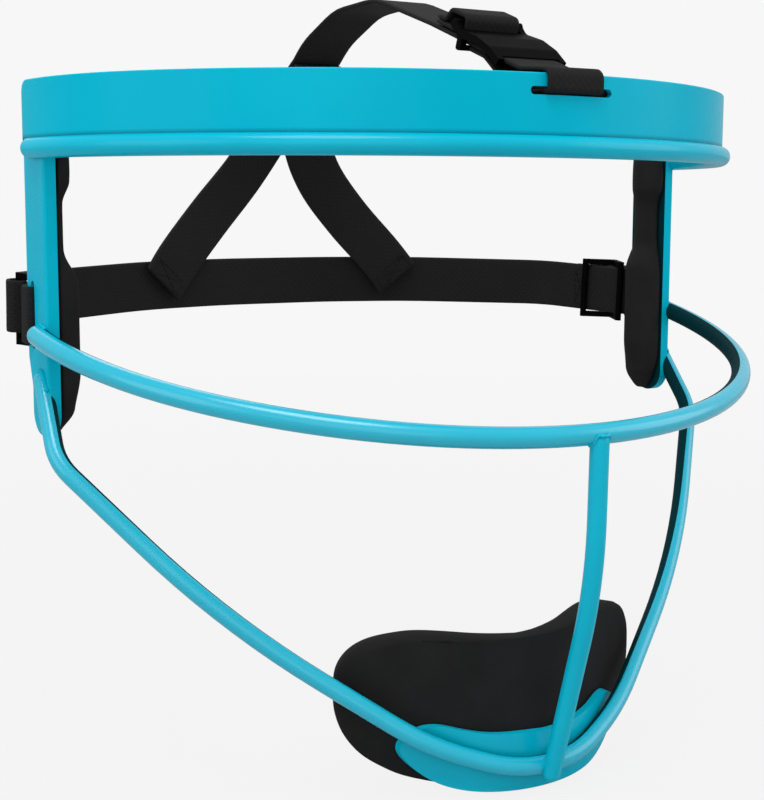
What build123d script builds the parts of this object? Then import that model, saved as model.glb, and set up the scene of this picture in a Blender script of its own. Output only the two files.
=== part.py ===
from build123d import *
import os
from math import atan, cos, degrees, hypot, radians, sin, sqrt, tan

# A softball fielder's face guard: a welded frame of flat bar, sheet and round wire,
# foam pads on hook tape, and a webbing harness with three sliders.
# Millimetres. +Z is up, the wearer faces -Y, +X is the wearer's left.
# The origin lies midway between the temple plates, at about the height of the eyes.

# Clearances
fit_gap = 0.3
sewn_gap = 0.1
overrun = 20.0

# Wire stock: brow and face wires, then the thinner chin and centre wires
wire_diameter = 4.8
wire_radius = wire_diameter / 2
bend_round_share = 0.48
thin_wire_diameter = 4.3
thin_wire_radius = thin_wire_diameter / 2

# Temple plates, flat bar
plate_outer_x = 94.2
plate_thickness = 3.0
plate_front_y = -7.4
plate_rear_y = 6.6
plate_low_rear_y = 4.2
plate_top_z = 28.0
plate_taper_top_z = -33.0
plate_taper_low_z = -40.0
plate_bottom_z = -51.2
plate_edge_round = 0.7

# Forehead band, sheet bent round the brow, lapped on the plates' outer faces
band_thickness = 1.4
band_top_z = 31.2
band_front_y = -80.2
band_bend_y = 2.0
band_rear_y = 2.6
band_side_radius = 68.2
band_corner_radius = 3.0
band_edge_round = 0.4

# Brow wire under the band
brow_wire_z = 15.6
brow_wire_rear_y = -2.3
brow_wire_proud = -0.3

# Face wire, an oval in a plane that falls towards the front, let into the plates
wire_lap = 1.2
face_wire_rear_y = -4.1
face_wire_bend_y = -2.7
face_wire_bend_z = -27.0
face_wire_front_y = -90.5
face_wire_fall = 12.2
face_wire_side_radius = 85.0

# Chin cup, a rounded nose between two straight sides, drawn on the chin wire's middle line
chin_side_slope = 29.0
chin_nose_radius = 43.0
chin_nose_depth = 75.0

# Chin wire, half of its bend points from the temple to the middle
chin_start_inset = 0.3
chin_bend_spread = 1.1
chin_wire_start = (plate_outer_x - chin_start_inset, -2.6, -38.0)
chin_wire_bend = (plate_outer_x + chin_bend_spread, -15.4, -55.4)
chin_cheek_depth_share = 0.577
chin_jaw_behind = 7.9
chin_middle_behind = 0.2
chin_wire_cheek = (66.9, -chin_nose_depth * chin_cheek_depth_share, -90.0)
chin_wire_jaw = (27.1, chin_jaw_behind - chin_nose_depth, -119.1)
chin_wire_middle = (8.2, chin_middle_behind - chin_nose_depth, -125.5)
chin_wire_bend_radius = 14.0

# Centre wire, from the face wire's front to the chin wire's front
centre_wire_ahead = 1.2
centre_knee_behind = 0.7
centre_foot_ahead = 1.9
centre_wire_top = (face_wire_front_y - centre_wire_ahead, -47.4)
centre_wire_knee = (centre_wire_top[0] + centre_knee_behind, -79.5)
centre_wire_foot = (-chin_nose_depth - centre_foot_ahead, -127.0)
centre_wire_bend_radius = 110.0

# Chin plate: shares of its half width, and of its height from the top
chin_plate_thickness = 1.8
chin_plate_half_width = 31.5
chin_plate_top = -115.2
chin_plate_low = -131.6
chin_plate_shares = [
    (0.0, 0.18),
    (0.38, 0.14),
    (0.6, 0.06),
    (0.77, 0.0),
    (0.92, 0.1),
    (1.0, 0.32),
    (0.93, 0.57),
    (0.74, 0.84),
    (0.38, 0.98),
    (0.0, 1.0),
]

# Chin pad, drawn in the same way
chin_pad_thickness = 9.0
chin_pad_half_width = 43.8
chin_pad_top = -94.8
chin_pad_low = -131.0
chin_pad_round = 3.0
chin_pad_shares = [
    (0.0, 0.045),
    (0.33, 0.03),
    (0.6, 0.0),
    (0.76, 0.02),
    (0.89, 0.09),
    (0.97, 0.2),
    (1.0, 0.42),
    (0.96, 0.65),
    (0.85, 0.81),
    (0.72, 0.9),
    (0.46, 0.985),
    (0.0, 1.0),
]

# Hook tape between frame and pads
tape_thickness = 0.6
chin_tape_half_width = 20.0
chin_tape_top_z = -120.0
chin_tape_low_z = -128.2
temple_tape_half_width = 2.2
temple_tape_top_z = 12.0
temple_tape_low_z = -42.0
brow_tape_low_z = 18.4
brow_tape_top_z = 24.0
brow_tape_half_width = 62.0

# Foam pads
brow_pad_thickness = 8.0
brow_pad_low_z = 14.5
brow_pad_top_z = 25.6
brow_pad_half_width = 68.0
brow_pad_round = 2.5
temple_pad_thickness = 3.0
temple_pad_middle_y = -1.7
temple_pad_top_z = 20.0
temple_pad_bottom_z = -50.6
temple_pad_bulge_width = 13.8
temple_pad_bulge_z = 9.0
bulge_corner_share = 0.72
temple_pad_neck_width = 5.8
temple_pad_neck_top_z = 3.5
temple_pad_neck_low_z = -8.5
temple_pad_lobe_width = 18.8
temple_pad_lobe_top_z = -15.5
temple_pad_lobe_low_z = -42.0
lobe_corner_share = 0.93
temple_pad_round = 1.2

# Webbing
webbing_thickness = 1.1
back_webbing_width = 13.8
top_webbing_width = 15.0
diagonal_webbing_width = 14.4

# Strap slots
temple_slot_width = 2.4
temple_slot_front_y = 0.9
temple_slot_length = 16.0
band_slot_width = 1.8
band_slot_top_z = 28.3
band_slot_length = 22.0

# Back strap: height at the plates, rise to the back, and its bends in plan
strap_middle_z = -22.9
strap_rise = 3.2
strap_side_inset = 11.9
strap_side = (plate_outer_x - strap_side_inset, 38.5)
strap_corner = (44.0, 57.6)
strap_back = (17.0, 62.4)
strap_side_radius = 15.0
strap_corner_radius = 70.0
strap_back_radius = 90.0
strap_exit_inset = 2.9
strap_exit = (plate_outer_x - strap_exit_inset, 8.6)
strap_exit_radius = 3.0
fold_radius = 0.8
strap_join_run = 2.4
strap_tail_run = 19.0

# Top strap in side view, from the band over the crown, then a diagonal to the back strap
top_edge_z = 31.9
top_run_start = (-70.0, 32.9)
top_run_end = (-34.0, 45.9)
top_crown_front = (-8.0, 54.3)
top_crown_back = (13.0, 53.6)
top_shoulder = (30.0, 47.1)
top_end = (36.0, 42.6)
top_edge_radius = 2.0
top_crown_radius = 28.0
top_loop_inner = (-75.0, 27.0)
top_loop_low = (-65.5, 27.6)
top_loop_knee = (-60.5, 33.4)
top_loop_join_y = -57.0
top_tail_y = -51.5
top_loop_radius = 4.0

# Diagonal straps: centres from the crown down to the back strap, and the angle that
# the webbing's outer face is tipped back from straight up at each
diagonal_centres = [
    (2.0, 46.6, 33.4),
    (6.0, 54.9, 22.4),
    (12.6, 59.2, 11.0),
    (22.6, 59.9, -0.8),
    (33.2, 57.5, -12.4),
    (39.0, 55.8, -19.6),
]
diagonal_flat_sections = 3
diagonal_tips = [40.0, 28.0, 14.0, 5.0, 0.0, 0.0]
diagonal_turns = [0.0, -2.0, -5.0, -8.0, -12.0, -16.0]
diagonal_slants = [14.0, 26.0, 38.0, 42.0, 41.0, 40.0]

# Side sliders: bars along the strap's straight run, and the webbing loop on the middle one
slider_bar_length = 1.9
slider_bar_thickness = 1.5
slider_rail_width = 1.6
slider_side_bars = [1.6, 7.8, 14.4]
slider_side_reach = 4.4
slider_side_tail = 6.7
slider_side_join = 2.4

# Top slider, along and out of the top strap's straight run
hood_front = (5.4, 0.2)
hood_brow = (9.8, 1.8)
hood_crown = (15.5, 2.6)
hood_back = (22.6, 2.2)
hood_line = [hood_front, hood_brow, hood_crown, hood_back]
hood_thickness = 1.8
hood_radius = 4.0
top_slider_low_bar = 21.7
top_slider_low_thickness = 1.2
top_slider_loop_bar = 25.2
top_slider_loop_thickness = 2.3
top_slider_reach = 2.4
top_slider_tail = 9.0
top_slider_join = 6.0

# The two layers of webbing that run through a slider, and the loop's lower layer above them
channel_thickness = 2 * webbing_thickness + sewn_gap
inner_bar_out = -(channel_thickness + slider_bar_thickness) / 2 - fit_gap
loop_low_out = channel_thickness / 2 + fit_gap + webbing_thickness / 2


def mirrored(points):
    """Points of a half, from the side to the middle, followed by their mirror images."""
    return points + [(-point[0], *point[1:]) for point in reversed(points)]


def shifted(points, amount):
    """The points of an open polygon moved sideways to their left by an amount."""
    moved = []
    for index, (x, y) in enumerate(points):
        before = points[max(index - 1, 0)]
        after = points[min(index + 1, len(points) - 1)]
        run_in = Vector(x - before[0], y - before[1])
        run_out = Vector(after[0] - x, after[1] - y)
        if index == 0:
            run_in = run_out
        if index == len(points) - 1:
            run_out = run_in
        left_in = Vector(-run_in.Y, run_in.X).normalized()
        left_out = Vector(-run_out.Y, run_out.X).normalized()
        middle = (left_in + left_out).normalized()
        reach = amount / middle.dot(left_in)
        moved.append((x + middle.X * reach, y + middle.Y * reach))
    return moved


def turn_signs(points):
    """1 for each corner that turns left, -1 for each that turns right."""
    signs = []
    for first, corner, last in zip(points, points[1:], points[2:]):
        cross = (corner[0] - first[0]) * (last[1] - corner[1])
        cross -= (corner[1] - first[1]) * (last[0] - corner[0])
        signs.append(1 if cross > 0 else -1)
    return signs


def ribbon_face(points, radii, thickness):
    """Flat face of a strip of even thickness that follows a polygon with rounded corners."""
    half = thickness / 2
    signs = turn_signs(points)
    left_points = shifted(points, half)
    right_points = shifted(points, -half)
    left = FilletPolyline(*left_points, radius=[r - half * s for r, s in zip(radii, signs)])
    right = FilletPolyline(*right_points, radius=[r + half * s for r, s in zip(radii, signs)])
    caps = [Line(left_points[0], right_points[0]), Line(left_points[-1], right_points[-1])]
    return make_face([*left.edges(), *right.edges(), *caps])


def oval_edges(half_width, rear_y, bend_y, front_y, side_radius):
    """Half an oval in plan: straight sides, side arcs and one front arc, all tangent."""
    inset = half_width - side_radius
    depth = bend_y - front_y
    front_radius = (inset**2 + depth**2 - side_radius**2) / (2 * (depth - side_radius))
    front_centre_y = front_y + front_radius
    toward = Vector(inset, bend_y - front_centre_y).normalized()
    touch = Vector(inset, bend_y) + toward * side_radius
    between = (toward + Vector(1, 0)).normalized()
    side_middle = Vector(inset, bend_y) + between * side_radius
    edges = []
    for side in (1, -1):
        bend = (side * half_width, bend_y)
        if rear_y > bend_y:
            edges.append(Line((side * half_width, rear_y), bend))
        else:
            bend = (side * (inset + sqrt(side_radius**2 - (bend_y - rear_y) ** 2)), rear_y)
        edges.append(ThreePointArc(bend, (side * side_middle.X, side_middle.Y), (side * touch.X, touch.Y)))
    edges.append(ThreePointArc((touch.X, touch.Y), (0, front_y), (-touch.X, touch.Y)))
    return edges


def oval_wall(half_width, rear_y, bend_y, front_y, side_radius, thickness, low_z, top_z):
    """A wall bent along half an oval, its outer face on the oval."""
    outer = oval_edges(half_width, rear_y, bend_y, front_y, side_radius)
    inner_half = half_width - thickness
    inner = oval_edges(inner_half, rear_y, bend_y, front_y + thickness, side_radius - thickness)
    caps = [Line((side * half_width, rear_y), (side * inner_half, rear_y)) for side in (1, -1)]
    face = make_face([*outer, *inner, *caps])
    return extrude(Pos(0, 0, low_z) * face, top_z - low_z)


def round_bar(path, radius):
    """A round bar along a path, with domed ends."""
    start = Plane(origin=path @ 0, z_dir=path % 0)
    bar = sweep(start * Circle(radius), path=path)
    return bar + Pos(*(path @ 0)) * Sphere(radius) + Pos(*(path @ 1)) * Sphere(radius)


def bent_path(points, first_radius):
    """A path through bend points, each bend after the first as round as its runs allow."""
    vectors = [Vector(*point) for point in points]
    radii = []
    for first, corner, last in zip(vectors, vectors[1:], vectors[2:]):
        turn = radians((corner - first).get_angle(last - corner))
        shorter = min((corner - first).length, (last - corner).length)
        radii.append(bend_round_share * shorter / tan(turn / 2))
    radii[0] = first_radius
    radii[-1] = first_radius
    return Wire(FilletPolyline(*vectors, radius=radii).edges())


def outline_face(points):
    """A flat face inside a smooth closed line through its points."""
    return make_face(Spline(*points, periodic=True))


def both_sides(half):
    """A closed outline from its right half, listed from the top of the middle to its foot."""
    inner = [point for point in half if point[0] > 0]
    return half + [(-x, y) for x, y in reversed(inner)]


def slot_cutter(length, width, depth):
    """A round-ended slot through a wall, long along X and deep along Z."""
    return extrude(SlotOverall(length, width), depth, both=True)


def brow_wire():
    grow = brow_wire_proud
    edges = oval_edges(
        plate_outer_x + band_thickness + grow,
        brow_wire_rear_y,
        band_bend_y,
        band_front_y - grow,
        band_side_radius + grow,
    )
    return Pos(0, 0, brow_wire_z) * round_bar(Wire(edges), wire_radius)


def forehead_band(wire):
    wall = oval_wall(
        plate_outer_x + band_thickness,
        band_rear_y,
        band_bend_y,
        band_front_y,
        band_side_radius,
        band_thickness,
        brow_wire_z,
        band_top_z,
    )
    corners = wall.edges().filter_by(Axis.X).group_by(Axis.Z)[-1]
    wall = fillet(corners, band_corner_radius)
    rims = wall.edges().group_by(Axis.Z)[-1]
    wall = fillet(rims.filter_by(lambda edge: edge.length > band_corner_radius), band_edge_round)
    slot = Rot(90, 0, 0) * slot_cutter(band_slot_length, band_slot_width, overrun)
    slot_z = band_slot_top_z - band_slot_width / 2
    return wall - Pos(0, band_front_y, slot_z) * slot - wire


def temple_plate(side, band, wires):
    radius = (plate_low_rear_y - plate_front_y) / 2
    low_z = plate_bottom_z + radius
    middle_y = plate_front_y + radius
    outline = [
        Line((plate_front_y, low_z), (plate_front_y, plate_top_z)),
        Line((plate_front_y, plate_top_z), (plate_rear_y, plate_top_z)),
        Line((plate_rear_y, plate_top_z), (plate_rear_y, plate_taper_top_z)),
        Line((plate_rear_y, plate_taper_top_z), (plate_low_rear_y, plate_taper_low_z)),
        Line((plate_low_rear_y, plate_taper_low_z), (plate_low_rear_y, low_z)),
        ThreePointArc((plate_low_rear_y, low_z), (middle_y, plate_bottom_z), (plate_front_y, low_z)),
    ]
    inner_face = Plane(origin=(plate_outer_x - plate_thickness, 0, 0), x_dir=(0, 1, 0), z_dir=(1, 0, 0))
    plate = extrude(inner_face * make_face(outline), plate_thickness)
    outer_rim = plate.faces().sort_by(Axis.X)[-1].edges()
    plate = fillet(outer_rim.filter_by(lambda edge: edge.center().Z < brow_wire_z), plate_edge_round)
    slot_y = temple_slot_front_y + temple_slot_width / 2
    slot = Rot(0, 90, 0) * slot_cutter(temple_slot_length, temple_slot_width, overrun)
    plate -= Pos(plate_outer_x, slot_y, strap_middle_z) * slot
    if side < 0:
        plate = mirror(plate, about=Plane.YZ)
    return plate - band - wires


def face_wire():
    slope = radians(face_wire_fall)
    edges = oval_edges(
        plate_outer_x + wire_lap,
        (face_wire_rear_y - face_wire_bend_y) / cos(slope),
        0,
        (face_wire_front_y - face_wire_bend_y) / cos(slope),
        face_wire_side_radius,
    )
    bar = round_bar(Wire(edges), wire_radius)
    return Pos(0, face_wire_bend_y, face_wire_bend_z) * Rot(face_wire_fall, 0, 0) * bar


def chin_wire(face):
    half = [chin_wire_start, chin_wire_bend, chin_wire_cheek, chin_wire_jaw, chin_wire_middle]
    return round_bar(bent_path(mirrored(half), chin_wire_bend_radius), thin_wire_radius) - face


def centre_wire(face, chin):
    points = [(0, *point) for point in (centre_wire_top, centre_wire_knee, centre_wire_foot)]
    path = Wire(FilletPolyline(*points, radius=[centre_wire_bend_radius]).edges())
    return round_bar(path, thin_wire_radius) - face - chin


def chin_nose(inset, reach):
    """Plan line of the chin cup, set in from the chin wire's middle line."""
    lean_out = radians(chin_side_slope)
    apex = -chin_nose_depth - chin_nose_radius * (1 / cos(lean_out) - 1) + inset / cos(lean_out)
    end_y = apex + reach * tan(lean_out)
    points = [(reach, end_y), (0, apex), (-reach, end_y)]
    return points, FilletPolyline(*points, radius=[chin_nose_radius - inset])


def chin_layer(inset, thickness, outline):
    """A layer of the chin cup: an upright wall cut to an outline seen from the front."""
    reach = chin_pad_half_width + overrun
    outer_points, outer = chin_nose(inset, reach)
    inner_points, inner = chin_nose(inset + thickness, reach)
    caps = [Line(outer_points[0], inner_points[0]), Line(outer_points[-1], inner_points[-1])]
    low = outline.bounding_box().min.Y - overrun
    high = outline.bounding_box().max.Y + overrun
    wall = extrude(Pos(0, 0, low) * make_face([*outer.edges(), *inner.edges(), *caps]), high - low)
    front = Plane(origin=(0, -chin_nose_depth - overrun, 0), x_dir=(1, 0, 0), z_dir=(0, -1, 0))
    cutter = extrude(front * outline, -(chin_nose_depth + overrun))
    return wall & cutter


def cup_outline(shares, half_width, top_z, low_z):
    """Outline of a part of the chin cup, from shares of its half width and of its height."""
    half = [(x * half_width, top_z + (low_z - top_z) * z) for x, z in shares]
    return outline_face(both_sides(half))


def chin_plate(chin, centre):
    outline = cup_outline(chin_plate_shares, chin_plate_half_width, chin_plate_top, chin_plate_low)
    plate = chin_layer(thin_wire_radius, chin_plate_thickness, outline)
    return plate - chin - centre


def chin_tape():
    middle = (chin_tape_top_z + chin_tape_low_z) / 2
    outline = Pos(0, middle) * Rectangle(2 * chin_tape_half_width, chin_tape_top_z - chin_tape_low_z)
    return chin_layer(thin_wire_radius + chin_plate_thickness, tape_thickness, outline)


def chin_pad():
    outline = cup_outline(chin_pad_shares, chin_pad_half_width, chin_pad_top, chin_pad_low)
    inset = thin_wire_radius + chin_plate_thickness + tape_thickness
    pad = chin_layer(inset, chin_pad_thickness, outline)
    return fillet(pad.edges(), chin_pad_round)


def forehead_layer(inset, thickness, half_width, low_z, top_z, round_size):
    """A layer on the band's inner face, cut off at a distance from the middle."""
    wall = oval_wall(
        plate_outer_x - inset,
        band_rear_y,
        band_bend_y,
        band_front_y + band_thickness + inset,
        band_side_radius - band_thickness - inset,
        thickness,
        low_z,
        top_z,
    )
    keep = Pos(0, band_front_y, (low_z + top_z) / 2) * Box(2 * half_width, -2 * band_front_y, 2 * overrun)
    piece = wall & keep
    if round_size:
        piece = fillet(piece.edges(), round_size)
    return piece


def temple_pad(side):
    bulge = temple_pad_bulge_width / 2
    neck = temple_pad_neck_width / 2
    lobe = temple_pad_lobe_width / 2
    half = [
        (0, temple_pad_top_z),
        (bulge * bulge_corner_share, temple_pad_top_z - bulge / 2),
        (bulge, temple_pad_bulge_z),
        (neck, temple_pad_neck_top_z),
        (neck, temple_pad_neck_low_z),
        (lobe * lobe_corner_share, temple_pad_lobe_top_z),
        (lobe, (temple_pad_lobe_top_z + temple_pad_lobe_low_z) / 2),
        (lobe * lobe_corner_share, temple_pad_lobe_low_z),
        (0, temple_pad_bottom_z),
    ]
    outer_x = plate_outer_x - plate_thickness - tape_thickness
    plane = Plane(origin=(outer_x, temple_pad_middle_y, 0), x_dir=(0, 1, 0), z_dir=(1, 0, 0))
    pad = extrude(plane * outline_face(both_sides(half)), -temple_pad_thickness)
    pad = fillet(pad.faces().sort_by(Axis.X)[0].edges(), temple_pad_round)
    strap_inner_x = plate_outer_x - plate_thickness - 2 * fit_gap - webbing_thickness
    relief = Box(overrun, overrun, back_webbing_width + 4 * fit_gap)
    relief_y = temple_slot_front_y - fit_gap + overrun / 2
    pad -= Pos(strap_inner_x + overrun / 2, relief_y, strap_middle_z) * relief
    return pad if side > 0 else mirror(pad, about=Plane.YZ)


def temple_tape(side):
    height = temple_tape_top_z - temple_tape_low_z
    tape = Box(tape_thickness, 2 * temple_tape_half_width, height)
    x = plate_outer_x - plate_thickness - tape_thickness / 2
    return Pos(side * x, temple_pad_middle_y, (temple_tape_top_z + temple_tape_low_z) / 2) * tape


def raised(shape):
    """The back strap's slope: a shape drawn level, turned up about the plates' rear edges."""
    about = Axis((0, plate_rear_y, strap_middle_z), (1, 0, 0))
    return shape.rotate(about, strap_rise)


def side_run():
    """Start, direction and outward normal of the strap's straight run, in plan."""
    start = Vector(*strap_exit)
    along = (Vector(*strap_side) - start).normalized()
    return start, along, Vector(along.Y, -along.X)


def side_point(run, out):
    start, along, outward = side_run()
    point = start + along * run + outward * out
    return (point.X, point.Y)


def back_strap():
    """One webbing: from each tail forward, out round the plate's rear bar and back behind the head."""
    slot_y = temple_slot_front_y + temple_slot_width / 2
    outer_x = plate_outer_x + fit_gap + webbing_thickness / 2
    inner_x = plate_outer_x - plate_thickness - fit_gap - webbing_thickness / 2
    half = [
        side_point(strap_tail_run, webbing_thickness + sewn_gap),
        side_point(strap_join_run, webbing_thickness + sewn_gap),
        (outer_x, plate_rear_y + fit_gap),
        (outer_x, slot_y),
        (inner_x, slot_y),
        (inner_x, plate_rear_y + fit_gap),
        strap_exit,
        strap_side,
        strap_corner,
        strap_back,
    ]
    turns = [
        webbing_thickness,
        webbing_thickness,
        fold_radius,
        fold_radius,
        fold_radius,
        strap_exit_radius,
        strap_side_radius,
        strap_corner_radius,
        strap_back_radius,
    ]
    face = ribbon_face(mirrored(half), turns + turns[::-1], webbing_thickness)
    low_z = strap_middle_z - back_webbing_width / 2
    return raised(extrude(Pos(0, 0, low_z) * face, back_webbing_width))


def top_run():
    """Start and direction of the top strap's straight run, in side view, with its upward normal."""
    start = Vector(*top_run_start)
    along = (Vector(*top_run_end) - start).normalized()
    return start, along, Vector(-along.Y, along.X)


def top_line_point(y, out):
    """Point of the straight run's line at a place along Y, moved out of the strap's plane."""
    start, along, upward = top_run()
    point = start + along * ((y - start.X) / along.X) + upward * out
    return (point.X, point.Y)


def webbing_section(centre, tip, turn, slant, width):
    """Cross-section of a twisting strap, its outer face tipped, turned and slanted."""
    place = Location(centre) * Rot(0, 0, turn) * Rot(tip, 0, 0) * Rot(0, slant, 0)
    return Plane(place) * Rectangle(width, webbing_thickness)


def diagonal_strap(side, inset):
    """A strap that leaves the crown and twists down to the back strap's inner face."""
    sections = []
    start = (0, top_end[0], top_end[1])
    crown_tip = degrees(atan((top_end[0] - top_shoulder[0]) / (top_shoulder[1] - top_end[1])))
    places = [(start, crown_tip, 0, 0)]
    places += list(zip(diagonal_centres, diagonal_tips, diagonal_turns, diagonal_slants))
    last = len(places) - 1
    for index, (centre, tip, turn, slant) in enumerate(places):
        depth = inset * min(1, (last - index) / (last - diagonal_flat_sections))
        tipped = radians(tip)
        x, y, z = centre
        moved = (side * x, y - depth * cos(tipped), z - depth * sin(tipped))
        width = top_webbing_width + (diagonal_webbing_width - top_webbing_width) * index / last
        sections.append(webbing_section(moved, tip, side * turn, -side * slant, width))
    return loft(sections)


def top_strap():
    """One webbing: tail, loop through the band's slot, over the crown and down to the back strap."""
    slot_z = band_slot_top_z - band_slot_width / 2
    outer_y = band_front_y - fit_gap - webbing_thickness / 2
    points = [
        top_line_point(top_tail_y, -webbing_thickness - sewn_gap),
        top_line_point(top_loop_join_y, -webbing_thickness - sewn_gap),
        top_loop_knee,
        top_loop_low,
        (top_loop_inner[0], slot_z),
        (outer_y, slot_z),
        (outer_y, top_edge_z),
        top_run_start,
        top_run_end,
        top_crown_front,
        top_crown_back,
        top_shoulder,
        top_end,
    ]
    radii = [
        top_loop_radius,
        top_loop_radius,
        top_loop_radius,
        top_loop_radius,
        fold_radius,
        top_edge_radius,
        top_loop_radius,
        top_crown_radius,
        top_crown_radius,
        top_crown_radius,
        top_crown_radius,
    ]
    side_view = Plane(origin=(-top_webbing_width / 2, 0, 0), x_dir=(0, 1, 0), z_dir=(1, 0, 0))
    level = extrude(side_view * ribbon_face(points, radii, webbing_thickness), top_webbing_width)
    return level + diagonal_strap(-1, 0)


def loop_bar_out(bar_thickness):
    """Height of a slider's outer bar, which stands on the loop's lower layer."""
    return loop_low_out + webbing_thickness / 2 + sewn_gap + bar_thickness / 2


def slider_frame(bars, webbing_width):
    """A three-bar slider: X along the webbing, Y out of it, Z across it, bars as (x, y)."""
    inner_half = webbing_width / 2 + fit_gap
    outer_half = inner_half + slider_rail_width
    bar = SlotOverall(slider_bar_length, slider_bar_thickness)
    frame = Part() + [Pos(x, y, 0) * extrude(bar, outer_half, both=True) for x, y in bars]
    for (x0, y0), (x1, y1) in zip(bars, bars[1:]):
        link = SlotCenterToCenter(hypot(x1 - x0, y1 - y0), slider_bar_thickness)
        rail = extrude(link, slider_rail_width)
        angle = degrees(atan((y1 - y0) / (x1 - x0)))
        for low in (-outer_half, inner_half):
            frame += Pos((x0 + x1) / 2, (y0 + y1) / 2, low) * Rot(0, 0, angle) * rail
    return frame


def slider_loop(bar_place, bar_thickness, reach, tail_run, join_run, webbing_width):
    """A webbing end folded round the slider's outer bar and sewn to itself behind it."""
    front = bar_place - reach + webbing_thickness / 2
    behind = bar_place + slider_bar_length / 2
    upper = loop_low_out + webbing_thickness + sewn_gap
    loop_top_out = 2 * loop_bar_out(bar_thickness) - loop_low_out
    points = [
        (behind + tail_run, upper),
        (behind + join_run, upper),
        (behind + join_run - slider_bar_length, loop_top_out),
        (front, loop_top_out),
        (front, loop_low_out),
        (behind + tail_run, loop_low_out),
    ]
    face = ribbon_face(points, [fold_radius] * 4, webbing_thickness)
    return extrude(face, webbing_width / 2, both=True)


def side_slider(side):
    """The slider behind one temple plate and the webbing loop on its outer bar."""
    start, along, outward = side_run()
    middle = start + outward * ((webbing_thickness + sewn_gap) / 2)
    origin = (middle.X, middle.Y, strap_middle_z)
    plane = Plane(origin=origin, x_dir=(along.X, along.Y, 0), z_dir=(0, 0, -1))
    outs = [inner_bar_out, loop_bar_out(slider_bar_thickness), inner_bar_out]
    frame = raised(plane * slider_frame(list(zip(slider_side_bars, outs)), back_webbing_width))
    folded = slider_loop(
        slider_side_bars[1],
        slider_bar_thickness,
        slider_side_reach,
        slider_side_tail,
        slider_side_join,
        back_webbing_width,
    )
    loop = raised(plane * folded)
    if side < 0:
        return mirror(frame, about=Plane.YZ), mirror(loop, about=Plane.YZ)
    return frame, loop


def top_slider_frame():
    """The top slider: a hood over the strap, a bar under it, and a bar for the loop behind."""
    inner_half = top_webbing_width / 2 + fit_gap
    outer_half = inner_half + slider_rail_width
    loop_out = loop_bar_out(top_slider_loop_thickness)
    rail_line = hood_line + [(top_slider_loop_bar, loop_out)]
    radii = [hood_radius] * (len(rail_line) - 2)
    hood = extrude(ribbon_face(hood_line, radii[1:], hood_thickness), outer_half, both=True)
    rail_face = ribbon_face(rail_line, radii, hood_thickness)
    strap_out = (webbing_thickness + sewn_gap) / 2
    low_out = strap_out - (webbing_thickness + top_slider_low_thickness) / 2 - fit_gap
    low_bar = extrude(SlotOverall(slider_bar_length, top_slider_low_thickness), outer_half, both=True)
    loop_bar = extrude(Circle(top_slider_loop_thickness / 2), outer_half, both=True)
    post = Rectangle(slider_bar_length, hood_back[1] - low_out)
    post_face = Pos(top_slider_low_bar, (hood_back[1] + low_out) / 2) * post
    frame = hood + Pos(top_slider_low_bar, low_out, 0) * low_bar
    frame += Pos(top_slider_loop_bar, loop_out, 0) * loop_bar
    for low in (-outer_half, inner_half):
        frame += Pos(0, 0, low) * extrude(rail_face, slider_rail_width)
        frame += Pos(0, 0, low) * extrude(post_face, slider_rail_width)
    channel_top = strap_out + webbing_thickness / 2 + fit_gap
    channel_low = low_out + top_slider_low_thickness / 2
    channel = Box(2 * overrun, channel_top - channel_low, 2 * inner_half)
    channel_out = (channel_top + channel_low) / 2
    return frame - Pos(overrun, channel_out, 0) * channel


def top_slider():
    """The slider above the band's slot and the webbing loop on its rear bar."""
    start, along, upward = top_run()
    middle = start - upward * ((webbing_thickness + sewn_gap) / 2)
    plane = Plane(origin=(0, middle.X, middle.Y), x_dir=(0, along.X, along.Y), z_dir=(1, 0, 0))
    loop = slider_loop(
        top_slider_loop_bar,
        top_slider_loop_thickness,
        top_slider_reach,
        top_slider_tail,
        top_slider_join,
        top_webbing_width,
    )
    return plane * top_slider_frame(), plane * loop


def build():
    parts = {}
    brow = brow_wire()
    face = face_wire()
    chin = chin_wire(face)
    centre = centre_wire(face, chin)
    band = forehead_band(brow)
    wires = brow + face + chin
    parts["brow_wire"] = brow
    parts["face_wire"] = face
    parts["chin_wire"] = chin
    parts["centre_wire"] = centre
    parts["forehead_band"] = band
    parts["chin_plate"] = chin_plate(chin, centre)
    parts["chin_tape"] = chin_tape()
    parts["chin_pad"] = chin_pad()
    parts["forehead_tape"] = forehead_layer(
        0, tape_thickness, brow_tape_half_width, brow_tape_low_z, brow_tape_top_z, 0
    )
    parts["forehead_pad"] = forehead_layer(
        tape_thickness, brow_pad_thickness, brow_pad_half_width, brow_pad_low_z, brow_pad_top_z, brow_pad_round
    )
    parts["forehead_pad"] -= brow
    parts["back_strap"] = back_strap()
    parts["top_strap"] = top_strap()
    parts["diagonal_strap"] = diagonal_strap(1, webbing_thickness + 2 * fit_gap)
    parts["top_slider"], parts["top_slider_loop"] = top_slider()
    for name, side in (("left", 1), ("right", -1)):
        parts[f"temple_plate_{name}"] = temple_plate(side, band, wires)
        parts[f"temple_tape_{name}"] = temple_tape(side)
        parts[f"temple_pad_{name}"] = temple_pad(side)
        parts[f"slider_{name}"], parts[f"slider_loop_{name}"] = side_slider(side)
    return parts


os.makedirs("parts", exist_ok=True)
for name, shape in build().items():
    export_step(shape, f"parts/{name}.step")
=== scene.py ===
import math

import bmesh
import bpy
from mathutils import Matrix, Vector


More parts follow.
